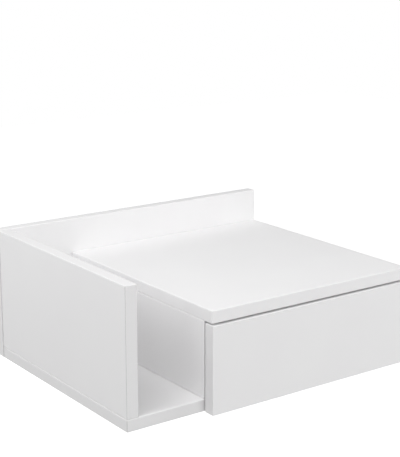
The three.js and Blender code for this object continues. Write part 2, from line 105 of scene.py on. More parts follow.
def add_node(material, kind, inputs=None, **settings):
    """Adds a node with its settings. Each input is a value, or another node's output, which is linked."""
    tree = material.node_tree
    node = tree.nodes.new("ShaderNode" + kind)
    for name, value in settings.items():
        setattr(node, name, value)
    for name, value in (inputs or {}).items():
        if isinstance(value, bpy.types.NodeSocket):
            tree.links.new(value, node.inputs[name])
        else:
            node.inputs[name].default_value = value
    return node


def solid(name, *surfaces):
    """A closed mesh from stacks of rings. Each ring is joined to the next by quads, the first and the last
    are closed by one face each, and points that fall together are merged."""
    points, faces, start = [], [], 0
    for rings in surfaces:
        rows, around = rings.shape[:2]
        at = start + np.arange(rows * around).reshape(rows, around)
        ahead = np.roll(at, -1, axis=1)
        quads = np.stack([at[:-1], ahead[:-1], ahead[1:], at[1:]], axis=-1).reshape(-1, 4)
        faces += quads.tolist() + [at[0, ::-1].tolist(), at[-1].tolist()]
        points.append(rings.reshape(-1, 3))
        start += rows * around
    mesh = bpy.data.meshes.new(name)
    mesh.from_pydata(np.concatenate(points), [], faces)
    shape = bmesh.new()
    shape.from_mesh(mesh)
    bmesh.ops.remove_doubles(shape, verts=shape.verts, dist=merge_distance)
    bmesh.ops.recalc_face_normals(shape, faces=shape.faces)
    shape.to_mesh(mesh)
    shape.free()
    return mesh


def soften(mesh):
    """Shades a mesh smooth, apart from the edges at which its faces turn by more than 35 degrees."""
    mesh.polygons.foreach_set("use_smooth", np.ones(len(mesh.polygons), bool))
    mesh.set_sharp_from_angle(angle=smooth_angle)
    return mesh


def quarter_turns(steps):
    """The angles of a ring with four rounded corners, and each angle's corner as its sides in X and Y. Where
    two quarters meet the angle comes twice, once for each corner, which makes the flat between them."""
    quarter = np.linspace(0, math.pi / 2, steps + 1)
    turn = np.concatenate([quarter + side * math.pi / 2 for side in range(4)])
    return turn, np.repeat([[1, 1], [-1, 1], [-1, -1], [1, -1]], steps + 1, axis=0)


def rounded_block(low, high, edge):
    """Rings of a box with rounded edges: every point of a ball of the edge's radius, moved out to the inset
    corner that it points towards."""
    low, high = np.array(low), np.array(high)
    turn, sides = quarter_turns(round_steps)
    quarter = turn[: round_steps + 1]
    rise = np.concatenate([quarter - math.pi / 2, quarter])[:, None]
    ball = np.stack(
        [np.cos(rise) * np.cos(turn), np.cos(rise) * np.sin(turn), np.sin(rise) + 0 * turn], axis=-1
    )
    corner = np.empty_like(ball)
    corner[..., :2] = sides
    corner[..., 2] = np.repeat([-1, 1], len(quarter))[:, None]
    return (low + high) / 2 + corner * ((high - low) / 2 - edge) + ball * edge


def add_piece(name, node, body, slot, mesh, *materials):
    """Shows a mesh as the piece that stands for a CAD node, on that node's body."""
    piece = bpy.data.objects.new(name, mesh)
    bpy.context.scene.collection.objects.link(piece)
    for material in materials:
        mesh.materials.append(material)
    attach(piece, body)
    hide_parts(node)
    made[node] = piece


def carve(nodes, surfaces, inside=None, how="DIFFERENCE"):
    """Cuts closed surfaces out of the pieces of some nodes, or joins them on. The new faces take the
    material inside, and smooth pieces are softened again."""
    tool = bpy.data.objects.new("tool", solid("tool", *surfaces))
    bpy.context.scene.collection.objects.link(tool)
    if inside:
        tool.data.materials.append(inside)
    for node in nodes:
        piece = made[node]
        was, was_smooth = piece.data, piece.data.polygons[0].use_smooth
        cut = piece.modifiers.new("cut", "BOOLEAN")
        cut.object, cut.operation, cut.solver, cut.material_mode = tool, how, "EXACT", "TRANSFER"
        seen = piece.evaluated_get(bpy.context.evaluated_depsgraph_get())
        piece.data = bpy.data.meshes.new_from_object(seen)
        piece.modifiers.remove(cut)
        bpy.data.meshes.remove(was)
        if was_smooth:
            soften(piece.data)
    bpy.data.meshes.remove(tool.data)


def patterned(name, colours, spots, surface, gloss=None, relief=None, grain=None, stretch=None):
    """A material with noise in the object's own coordinates, which can be stretched along an axis. The spots
    take its tone from one colour to the other, and its roughness through the two gloss values. The relief,
    a strength and a depth, is pressed by the grain, or by the spots where there is no grain. What is the
    same all over is in surface."""
    material = new_material(name)
    inputs = dict(surface)
    where = add_node(material, "TexCoord").outputs["Object"]
    if stretch:
        where = add_node(material, "Mapping", {"Vector": where, "Scale": stretch}).outputs["Vector"]
    spot = add_node(material, "TexNoise", {"Vector": where, **spots}).outputs["Fac"]
    if colours:
        ends = {"Color1": linear(colours[0]), "Color2": linear(colours[1])}
        inputs["Base Color"] = add_node(material, "MixRGB", {"Fac": spot, **ends}).outputs["Color"]
    if gloss:
        ends = {"To Min": gloss[0], "To Max": gloss[1]}
        inputs["Roughness"] = add_node(material, "MapRange", {"Value": spot, **ends}).outputs["Result"]
    if relief:
        height = add_node(material, "TexNoise", {"Vector": where, **grain}).outputs["Fac"] if grain else spot
        press = {"Height": height, "Strength": relief[0], "Distance": relief[1]}
        inputs["Normal"] = add_node(material, "Bump", press).outputs["Normal"]
    shader = add_node(material, "BsdfPrincipled", inputs)
    add_node(material, "OutputMaterial", {"Surface": shader.outputs["BSDF"]})
    return material


def pressed_foil(name, colour, shade):
    """Satin foil over fibreboard: a tone that drifts over 80 mm, and the faint peel of the warm press."""
    return patterned(
        name,
        (colour, shade),
        spots={"Scale": 1 / (80 * mm), "Detail": 2.0},
        gloss=(0.34, 0.40),
        grain={"Scale": 1 / (1.5 * mm), "Detail": 1.0},
        relief=(0.2, 0.01 * mm),
        surface={"IOR": 1.5, "Specular IOR Level": 0.3},
    )


def face_normals(mesh):
    """A row for each face of a mesh: the direction in which it looks."""
    normals = np.empty(3 * len(mesh.polygons), np.float32)
    mesh.polygons.foreach_get("normal", normals)
    return normals.reshape(-1, 3)


def wrapped_board(node, edge, short=0.0, painted_corner=False):
    """A board of a CAD node's size, or a little short of it at the rear. The faces that turn well away from
    the two broad ones are its edges, and take the second material, a darker grey of painted shade. On a board
    with a painted corner the middle of the round at its front left corner takes the third, a line of painted
    shade."""
    low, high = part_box(node)
    high = high - Vector((0, short, 0))
    mesh = solid(node, rounded_block(low, high, edge))
    facing = face_normals(mesh)
    thin = int(np.argmin(high - low))
    part = (abs(facing[:, thin]) < math.cos(edge_least_turn)).astype(np.int32)
    if painted_corner:
        part[facing @ np.array((left + forward).normalized()) > math.cos(painted_corner_half_angle)] = 2
    mesh.polygons.foreach_set("material_index", part)
    return mesh


foil = pressed_foil("white_foil_wrapped_fibreboard", foil_white, foil_shade)
# Painted shade: the edges' foil is a darker grey, which tones down the light they catch.
edge_foil_painted_shade = pressed_foil("white_foil_with_painted_shade_on_edges", edge_grey_painted_shade, edge_grey_painted_shade_tint)
# Painted shade: a grey line down the round of a front left corner, which is darker there as if in shade.
corner_line_painted_shade = pressed_foil("grey_painted_shade_line_on_corner", corner_grey_painted_shade, corner_grey_painted_shade_tint)

# Fibreboard is pressed from short wood fibres: matt, brown, with specks a millimetre or so long.
core = patterned(
    "cut_fibreboard_core",
    (core_dark, core_light),
    spots={"Scale": 1 / (1.2 * mm), "Detail": 4.0, "Roughness": 0.7},
    relief=(0.4, 0.1 * mm),
    surface={"Roughness": 0.85, "IOR": 1.45},
)

# The first three boards take the grey line of painted shade on their front left corner.
for node, edge, short, corner_paint in (
    ("back_panel", panel_round, 0, [corner_line_painted_shade]),
    ("bottom_panel", bottom_round, hairline, [corner_line_painted_shade]),
    ("left_side_panel", panel_round, hairline, [corner_line_painted_shade]),
    ("divider_panel", panel_round, 0, []),
    ("right_side_panel", panel_round, hairline, []),
):
    board = wrapped_board(node, edge, short, bool(corner_paint))
    add_piece(f"{node}_wrapped", node, "carcass", "white_board", board, foil, edge_foil_painted_shade, *corner_paint)
board = solid("top_panel", rounded_block(*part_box("top_panel"), top_round))
add_piece("top_panel_wrapped", "top_panel", "carcass", "white_board", board, foil)

# Board screws: one-piece furniture screws, 6.4 x 50 mm, with a coarse thread and a hexagon socket.
# Six rise through the bottom into the uprights, and five run forward through the back panel.
# They are cold-headed steel wire, with a rolled thread and bright zinc plating.
screw_sides = 24
thread_rows = 8
ridge_share = 0.24
point_flat = 0.1 * mm
head_rim = 0.25 * mm
pan_steps = 6
shoulder_share = 0.62
cross_arm_share = 0.27
cross_least = 0.01
seat_lip = 0.1 * mm
clearance = 0.3 * mm
overrun = 1 * mm
zinc_bright = "#C9CCD0"
zinc_dull = "#AEB1B4"
board_screw = {
    "head": 4.8 * mm,
    "sunk": 2 * mm,
    "crest": 3.2 * mm,
    "root": 2.3 * mm,
    "pitch": 3 * mm,
    "length": 50 * mm,
    "point": 4 * mm,
    "socket": 1.9 * mm,
    "socket_depth": 2.4 * mm,
    "socket_taper": 0.96,
    "socket_corners": 6,
}


def turned(radii, heights):
    """Rings about Z. Each has a height, and one radius or a radius for each of its points."""
    radii, heights = np.array(radii), np.array(heights)[:, None]
    turn = np.arange(radii.shape[1]) * 2 * math.pi / radii.shape[1]
    return np.stack([radii * np.cos(turn), radii * np.sin(turn), heights + 0 * radii], axis=-1)


def lathe(profile, sides=screw_sides):
    """Rings about Z from [radius, height] points."""
    radii, heights = np.array(profile, float).T
    return turned(np.repeat(radii[:, None], sides, axis=1), heights)


def socket_radii(size, corners):
    """A driver's socket seen from above: the distance to its rim at each turn. Six corners make a hexagon
    that measures twice the size across its flats, four make a cross whose arms reach the size."""
    turn = np.arange(screw_sides) * 2 * math.pi / screw_sides
    if corners == 6:
        return size / np.cos((turn + math.pi / 6) % (math.pi / 3) - math.pi / 6)
    along = np.maximum(abs(np.cos(turn)), abs(np.sin(turn)))
    beside = np.maximum(np.minimum(abs(np.cos(turn)), abs(np.sin(turn))), cross_least)
    return np.minimum(size / along, cross_arm_share * size / beside)


def screw_shape(screw):
    """Rings of a screw about Z, seated at 0. The radius is the socket's, then the head's, then the core's
    with a ridge that passes a given turn once in every pitch, and shrinks to nothing at the point."""
    top = -screw.get("rise", 0)
    socket = socket_radii(screw["socket"], screw["socket_corners"])
    bottom = top + screw["socket_depth"]
    rows = [(0 * socket, bottom), (socket * screw["socket_taper"], bottom), (socket, top)]
    ring = np.ones(screw_sides)
    if top:
        shoulder = screw["head"] * shoulder_share
        for angle in np.linspace(0, math.pi / 2, pan_steps):
            swell = (screw["head"] - shoulder) * math.sin(angle)
            rows.append((ring * (shoulder + swell), top * math.cos(angle)))
        start = 0
    else:
        rows += [(ring * (screw["head"] - head_rim / 2), top), (ring * screw["head"], top + head_rim)]
        start = screw["sunk"]
    rows.append((ring * screw["root"], start))
    start, end = start + screw["pitch"] / 2, screw["length"] - point_flat
    heights = np.arange(start, end, screw["pitch"] / thread_rows)
    turn = np.arange(screw_sides) / screw_sides
    phase = (heights[:, None] / screw["pitch"] - turn) % 1
    ridge = np.clip(1 - abs(phase - 0.5) / ridge_share, 0, 1) * (screw["crest"] - screw["root"])
    taper = np.clip((screw["length"] - heights) / screw["point"], 0, 1)[:, None]
    radii = np.array([radius for radius, _ in rows])
    radii = np.concatenate([radii, (screw["root"] + ridge) * taper, 0 * ring[None]])
    places = np.concatenate([[height for _, height in rows], heights, [screw["length"]]])
    return turned(radii, places)


def screw_bore(screw):
    """Rings of the hole that a screw needs: its shank, and a sunk head's seat."""
    shank = screw["crest"] + clearance
    end = screw["length"] + clearance
    if "rise" in screw:
        return lathe([[shank, -overrun], [shank, end]])
    mouth = screw["head"] + clearance
    return lathe([[mouth, -overrun], [mouth, seat_lip], [shank, screw["sunk"]], [shank, end]])


def placed(rings, node, axis, far, across=None):
    """Rings made about Z, turned so that Z runs along an axis and X across it, with their height far at the
    end of the node's box that the axis points to, and on its middle line."""
    low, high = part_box(node)
    across = across or (right if axis.z else up)
    half = abs((high - low).dot(axis)) / 2
    at = (low + high) / 2 + axis * (half - far)
    basis = np.array([across, axis.cross(across), axis])
    return rings @ basis + np.array(at)


def add_screw(node, screw, body, axis, boards, fitting=()):
    """Shows a screw in its CAD node's place, and bores the boards and the fitting that it passes through."""
    mesh = soften(solid(node, placed(screw_shape(screw), node, axis, screw["length"])))
    add_piece(f"{node}_threaded", node, body, "zinc_steel", mesh, zinc_plate)
    bore = placed(screw_bore(screw), node, axis, screw["length"])
    carve(boards, [bore], core)
    carve(fitting, [bore])


# Zinc's spangle and the marks of handling are a few millimetres across.
zinc_plate = patterned(
    "bright_zinc_plated_steel",
    (zinc_bright, zinc_dull),
    spots={"Scale": 1 / (6 * mm), "Detail": 3.0},
    gloss=(0.24, 0.42),
    surface={"Metallic": 1.0},
)

for upright in ("left_side", "divider", "right_side"):
    for row in ("front", "rear"):
        boards = ("bottom_panel", f"{upright}_panel")
        add_screw(f"{upright}_{row}_screw", board_screw, "carcass", up, boards)
for node, board in {
    "back_to_side_screw": "left_side_panel",
    "back_to_bottom_left_screw": "bottom_panel",
    "back_to_bottom_right_screw": "bottom_panel",
    "back_to_top_left_screw": "top_panel",
    "back_to_top_right_screw": "top_panel",
}.items():
    add_screw(node, board_screw, "carcass", forward, ("back_panel", board))

# Cam fittings of the top: a steel bolt screwed up into the top, and a cam let into the upright below it.
# A quarter turn of the cam draws the bolt's head in. The cam is zinc, die-cast and tumbled, so it is a dull
# grey with fine pits, and the bolt is turned steel, plated as the screws are.
bolt = {
    "thread": 2.5 * mm,
    "thread_root": 2.0 * mm,
    "thread_length": 10 * mm,
    "thread_rows": 6,
    "ridge_share": 0.3,
    "pitch": 1.6 * mm,
    "tip": 1.4 * mm,
    "tip_length": 1 * mm,
    "undercut": 0.3 * mm,
    "collar": 3.2 * mm,
    "collar_height": 1.2 * mm,
    "stem": 2.0 * mm,
    "head": 2.2 * mm,
    "head_height": 3 * mm,
    "neck": 1.4 * mm,
    "neck_length": 2.5 * mm,
    "ease": 0.3 * mm,
    "socket": 0.9 * mm,
    "socket_depth": 0.7 * mm,
}
board_cam = {
    "radius": 7.2 * mm,
    "depth": 12 * mm,
    "reach": 20 * mm,
    "axis_depth": 7.5 * mm,
    "cross": 4.5 * mm,
}
cam_ease = 0.5 * mm
cross_depth = 2.2 * mm
cross_taper = 0.6
mouth_corner = 0.8 * mm
wide_sides = 48
cast_light = "#A9ABAE"
cast_dark = "#8C8E91"


def bolt_shape(reach):
    """Rings of a cam bolt about Z: its thread below 0, then collar, stem, neck and a head with eased edges.
    The thread is a ridge, as a screw's is."""
    turn = np.arange(screw_sides) / screw_sides
    bottom = -bolt["thread_length"]
    root, pitch = bolt["thread_root"], bolt["pitch"]
    heights = np.arange(bottom + bolt["tip_length"], -bolt["undercut"], pitch / bolt["thread_rows"])
    phase = (heights[:, None] / pitch - turn) % 1
    ridge = np.clip(1 - abs(phase - 0.5) / bolt["ridge_share"], 0, 1) * (bolt["thread"] - root)
    thread = turned(root + ridge, heights)
    ease = bolt["ease"]
    start = reach - bolt["head_height"] / 2
    end = reach + bolt["head_height"] / 2
    neck_start = start - bolt["neck_length"]
    tip = lathe([[0, bottom], [bolt["tip"], bottom]])
    rest = lathe(
        [
            [bolt["thread_root"], 0],
            [bolt["collar"], 0],
            [bolt["collar"], bolt["collar_height"] - ease],
            [bolt["collar"] - ease, bolt["collar_height"]],
            [bolt["stem"], bolt["collar_height"]],
            [bolt["stem"], neck_start],
            [bolt["neck"], neck_start + ease],
            [bolt["neck"], start],
            [bolt["head"] - ease, start],
            [bolt["head"], start + ease],
            [bolt["head"], end - ease],
            [bolt["head"] - ease, end],
            [bolt["socket"], end],
            [0, end - bolt["socket_depth"]],
        ]
    )
    return np.concatenate([tip, thread, rest])


def bolt_bore(reach):
    """Rings of the hole that a cam bolt needs."""
    thread, stem = bolt["thread"] + clearance, bolt["collar"] + clearance
    end = -bolt["thread_length"] - clearance
    return lathe([[thread, end], [thread, 0], [stem, 0], [stem, reach]])


def slab(half_x, half_y, corner, bottom, top, ease=0.0, steps=round_steps):
    """Rings of a plate with rounded corners, from one height to another, its two rims eased by a chamfer.
    The outline is a quarter circle at each corner of an inset rectangle."""
    turn, sides = quarter_turns(steps)
    ring = np.stack([np.cos(turn), np.sin(turn)], axis=-1)
    corners = sides * (half_x - corner, half_y - corner)
    levels = [(bottom, ease), (bottom + ease, 0), (top - ease, 0), (top, ease)]
    outlines = [corners + ring * (corner - inset) for _, inset in levels]
    heights = np.array([height for height, _ in levels])[:, None, None]
    return np.concatenate([np.array(outlines), heights + np.zeros((4, len(turn), 1))], axis=-1)


def cam_shape(cam):
    """Rings of a cam about Z, its face at 0: a cross socket, a flat face, a chamfer and a plain drum."""
    socket = socket_radii(cam["cross"], 4)
    ring = np.ones(screw_sides)
    rows = [
        (0 * ring, cross_depth),
        (socket * cross_taper, cross_depth),
        (socket, 0),
        (ring * (cam["radius"] - cam_ease), 0),
        (ring * cam["radius"], cam_ease),
        (ring * cam["radius"], cam["depth"] - cam_ease),
        (ring * (cam["radius"] - cam_ease), cam["depth"]),
        (0 * ring, cam["depth"]),
    ]
    return turned([radius for radius, _ in rows], [height for _, height in rows])


def add_cam_pair(name, cam, body, axis, outwards, bolt_board, cam_board):
    """Shows a cam bolt and its cam, and cuts their holes and the cam's mouth, which faces the bolt."""
    bolt_node, lock_node = f"{name}_bolt", f"{name}_lock"
    far = cam["reach"] + bolt["head_height"] / 2
    mesh = soften(solid(bolt_node, placed(bolt_shape(cam["reach"]), bolt_node, axis, far)))
    add_piece(f"{bolt_node}_turned", bolt_node, body, "zinc_steel", mesh, zinc_plate)
    bore = placed(bolt_bore(cam["reach"]), bolt_node, axis, far)
    carve((bolt_board, cam_board), [bore], core)
    mesh = soften(solid(lock_node, placed(cam_shape(cam), lock_node, -outwards, cam["depth"], -axis)))
    add_piece(f"{lock_node}_cast", lock_node, body, "zinc_casting", mesh, casting)
    radius, end = cam["radius"] + clearance, cam["depth"] + clearance
    seat = placed(lathe([[radius, -overrun], [radius, end]], wide_sides), lock_node, -outwards, cam["depth"])
    carve([cam_board], [seat], core)
    # The mouth is a slot along the bolt's axis and at its depth, from the rim to just past the bolt's head.
    half = bolt["head"] + clearance
    back = bolt["head_height"] / 2 + clearance
    mouth = slab(half, half, mouth_corner, -back, cam["radius"] + overrun)
    mouth = placed(mouth, lock_node, -axis, cam["radius"], outwards)
    carve([lock_node], [mouth + np.array(outwards) * (cam["depth"] / 2 - cam["axis_depth"])])


casting = patterned(
    "tumbled_zinc_die_casting",
    (cast_dark, cast_light),
    spots={"Scale": 1 / (0.7 * mm), "Detail": 4.0, "Roughness": 0.6},
    relief=(0.5, 0.06 * mm),
    surface={"Roughness": 0.48, "Metallic": 1.0},
)

add_cam_pair("top_left_cam", board_cam, "carcass", down, right, "top_panel", "divider_panel")
add_cam_pair("top_right_cam", board_cam, "carcass", down, left, "top_panel", "right_side_panel")

# Wall hangers: two 2 mm steel plates let flush into the back of the back panel, near its top.
# Each is blanked with a keyhole: a wall screw's head goes in at the round end, and its shank up the slot.
# Behind the keyhole the board is routed out for the head. Two small countersunk screws hold each plate.
plate_corner = 4 * mm
plate_ease = 0.15 * mm
keyhole_slot = 2.5 * mm
keyhole_entry = 5 * mm
keyhole_drop = 10 * mm
head_pocket = 6.5 * mm
head_pocket_depth = 7 * mm
pocket_steps = 12
slot_steps = 8
entry_sides = 32
plate_screw = {
    "head": 2.7 * mm,
    "sunk": 1.3 * mm,
    "crest": 1.4 * mm,
    "root": 1.0 * mm,
    "pitch": 1.1 * mm,
    "length": 12 * mm,
    "point": 2 * mm,
    "socket": 1.4 * mm,
    "socket_depth": 0.8 * mm,
    "socket_taper": 0.5,
    "socket_corners": 4,
}


def around_keyhole(node, rings, rise):
    """Rings made about the middle of a hanger plate, with X up, moved so that they lie about a point that
    is a given rise above the middle."""
    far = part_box(node)[1].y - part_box(node)[0].y
    return placed(rings, node, forward, far) + np.array(up) * rise


for side in ("left", "right"):
    node = f"hanger_plate_{side}"
    low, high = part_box(node)
    thick = high.y - low.y
    half_long, half_wide = (high.z - low.z) / 2, (high.x - low.x) / 2
    plate = slab(half_long, half_wide, plate_corner, 0, thick, plate_ease)
    seat = slab(half_long + clearance, half_wide + clearance, plate_corner + clearance, -overrun, thick)
    # The head's pocket is a slot as wide as its cutter, from the entry to the wall screw's place.
    reach = keyhole_drop / 2 + head_pocket
    pocket = slab(reach, head_pocket, head_pocket, -overrun, thick + head_pocket_depth, 0, pocket_steps)
    carve(["back_panel"], [around_keyhole(node, seat, 0)], core)
    carve(["back_panel"], [around_keyhole(node, pocket, 0)], core)
    mesh = solid(node, around_keyhole(node, plate, 0))
    add_piece(f"{node}_blanked", node, "carcass", "zinc_steel", mesh, zinc_plate)
    entry = lathe([[keyhole_entry, -overrun], [keyhole_entry, thick + overrun]], entry_sides)
    slot_half = keyhole_drop / 2 + keyhole_slot
    slot = slab(slot_half, keyhole_slot, keyhole_slot, -overrun, thick + overrun, 0, slot_steps)
    carve([node], [around_keyhole(node, entry, -keyhole_drop / 2)])
    carve([node], [around_keyhole(node, slot, 0)])
    soften(made[node].data)
    for end in ("upper", "lower"):
        screw_node = f"hanger_{side}_{end}_screw"
        add_screw(screw_node, plate_screw, "carcass", forward, ["back_panel"], [node])

# Drawer box: two sides and a back of 12 mm melamine-faced board, and a 3 mm hardboard bottom in grooves.
# Its front is a wrapped board, as the carcass's are. The melamine is a slightly warmer white than the foil,
# with a finely pearled, flatter surface. The bottom is lacquered white above and left brown below.
front_round = 0.7 * mm
box_round = 0.6 * mm
hardboard_round = 0.2 * mm
melamine_white = "#EDECE8"
melamine_shade = "#E8E7E2"
hardboard_light = "#9A7A55"
hardboard_dark = "#7C5F40"

melamine = patterned(
    "white_melamine_faced_board",
    (melamine_white, melamine_shade),
    spots={"Scale": 1 / (50 * mm)},
    grain={"Scale": 1 / (0.9 * mm), "Detail": 2.0},
    relief=(0.35, 0.03 * mm),
    surface={"Roughness": 0.52, "IOR": 1.5},
)

# Hardboard's underside is dense brown fibre, a little shiny, with darker specks about 2 mm across.
hardboard = patterned(
    "bare_hardboard",
    (hardboard_dark, hardboard_light),
    spots={"Scale": 1 / (2 * mm), "Detail": 5.0, "Roughness": 0.7},
    relief=(0.3, 0.05 * mm),
    surface={"Roughness": 0.55, "IOR": 1.5},
)

# The front's edges take the foil with painted shade, as the carcass boards' edges do.
front = wrapped_board("drawer_front", front_round)
add_piece("drawer_front_wrapped", "drawer_front", "drawer", "white_board", front, foil, edge_foil_painted_shade)
for node in ("drawer_side_left", "drawer_side_right", "drawer_back"):
    board = solid(node, rounded_block(*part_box(node), box_round))
    add_piece(f"{node}_faced", node, "drawer", "white_drawer_board", board, melamine)
node = "drawer_bottom"
low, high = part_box(node)
bottom = solid(node, rounded_block(low, high, hardboard_round))
below = face_normals(bottom)[:, 2] < -math.cos(edge_least_turn)
bottom.polygons.foreach_set("material_index", below.astype(np.int32))
add_piece(f"{node}_lacquered", node, "drawer", "white_drawer_board", bottom, melamine, hardboard)
groove_low = low - Vector((clearance, clearance, 0))
groove = rounded_block(groove_low, high + Vector((clearance, overrun, clearance)), hardboard_round)
carve(("drawer_front", "drawer_side_left", "drawer_side_right"), [groove], core)

# Drawer fixings: a cam on each side draws the front on, four 4 x 40 mm screws hold the sides to the back,
# and one short screw holds the bottom up to the back. They are plated as those of the carcass.
box_cam = {
    "radius": 5.8 * mm,
    "depth": 9 * mm,
    "reach": 24 * mm,
    "axis_depth": 6 * mm,
    "cross": 3.5 * mm,
}
box_screw = {
    "head": 3.8 * mm,
    "sunk": 1.8 * mm,
    "crest": 2 * mm,
    "root": 1.4 * mm,
    "pitch": 1.8 * mm,
    "length": 40 * mm,
    "point": 3 * mm,
    "socket": 2.0 * mm,
    "socket_depth": 1.5 * mm,
    "socket_taper": 0.5,
    "socket_corners": 4,
}
bottom_screw = {**plate_screw, "length": 16 * mm}

for side, outwards in {"left": left, "right": right}.items():
    board = f"drawer_side_{side}"
    add_cam_pair(f"drawer_{side}_cam", box_cam, "drawer", rearward, outwards, "drawer_front", board)
    for end in ("upper", "lower"):
        node = f"drawer_back_{side}_{end}_screw"
        add_screw(node, box_screw, "drawer", -outwards, ("drawer_back", board))
add_screw("drawer_bottom_screw", bottom_screw, "drawer", up, ("drawer_back", "drawer_bottom"))

# Slides: 35 mm ball-bearing slides, each an outer and an inner channel with a ball cage between them.
# The channels are 1 mm zinc-plated strip, rolled to shape round two rows of balls and pierced with screw
# holes and slots, and a tab bent out of each stops the cage. Rolling leaves streaks along the strip.
sheet = 1 * mm
slide_thick = 12.5 * mm
outer_bend = 1.5 * mm
inner_bend = 1.2 * mm
ball_radius = 1.75 * mm
ball_play = 0.2 * mm
ball_share = 0.52
ball_pitch = 8 * mm
balls_in_row = 6
ball_sides = 16
ball_rows = 10
race_radius = ball_radius + ball_play + sheet / 2
ball_u = slide_thick * ball_share
shoulder_drop = 1.4 * mm
lip_end = math.radians(5)
arc_steps = 14
bend_steps = 5
cage_sheet = 0.8 * mm
cage_bend = 1.2 * mm
cage_lip_share = 0.95
pan_rise = 1.2 * mm
cage_web = sheet + pan_rise + clearance + cage_sheet / 2
stop_half = 4 * mm
stop_round = 0.2 * mm
spare_hole = 2.1 * mm
spare_slot = 2.2 * spare_hole
spare_steps = 4
spare_holes = ((0.28, spare_slot), (0.42, spare_hole), (0.58, spare_hole), (0.72, spare_slot))
strip_bright = "#C6C9CC"
strip_dull = "#B4B7BA"
ball_bright = "#D4D6D9"
slide_screw = {
    "head": 3 * mm,
    "rise": pan_rise,
    "crest": 1.6 * mm,
    "root": 1.15 * mm,
    "pitch": 1.3 * mm,
    "point": 2 * mm,
    "socket": 1.6 * mm,
    "socket_depth": 0.7 * mm,
    "socket_taper": 0.5,
    "socket_corners": 4,
}
outer_screw = {**slide_screw, "length": 13 * mm}
inner_screw = {**slide_screw, "length": 10 * mm}


def arc(middle, radius, start, end, steps):
    """Points of an arc about a middle, from one angle to another."""
    angle = np.linspace(start, end, steps + 1)[:, None]
    return np.array(middle) + radius * np.concatenate([np.cos(angle), np.sin(angle)], axis=1)


def folded(upper_half, thick, front, rear):
    """Rings of a folded strip: the upper half of its middle line in U and V, mirrored below, moved half the
    sheet's thickness to each side along the mean of the normals next to each point, and run along Y."""
    line = np.concatenate([upper_half, upper_half[::-1] * (1, -1)])
    step = np.diff(line, axis=0)
    normal = np.stack([-step[:, 1], step[:, 0]], axis=1) / np.linalg.norm(step, axis=1)[:, None]
    into = np.concatenate([normal[:1], normal])
    out = np.concatenate([normal, normal[-1:]])
    mitre = (into + out) / (1 + (into * out).sum(axis=1))[:, None]
    outline = np.concatenate([line + mitre * thick / 2, (line - mitre * thick / 2)[::-1]])
    rings = np.empty((2, len(outline), 3))
    rings[..., 0], rings[..., 2] = outline[:, 0], outline[:, 1]
    rings[0, :, 1], rings[1, :, 1] = front, rear
    return rings


def on_slide(rings, face, hand, height):
    """Rings in a slide's own U, Y and V, moved to its mounting face. The right one is turned to face left."""
    return rings * (hand, 1, hand) + np.array((face, 0, height))


# A streak is about 0.4 mm wide and 60 mm long.
strip = patterned(
    "rolled_zinc_plated_strip",
    (strip_bright, strip_dull),
    stretch=(1 / (0.4 * mm), 1 / (60 * mm), 1 / (0.4 * mm)),
    spots={"Scale": 1.0, "Detail": 3.0},
    gloss=(0.22, 0.40),
    relief=(0.2, 0.02 * mm),
    surface={"Metallic": 1.0},
)

# Bearing balls are ground and polished, so they are almost mirrors.
polished = patterned(
    "polished_bearing_steel",
    None,
    spots={"Scale": 1 / (1 * mm)},
    gloss=(0.05, 0.14),
    surface={"Base Color": linear(ball_bright), "Metallic": 1.0},
)

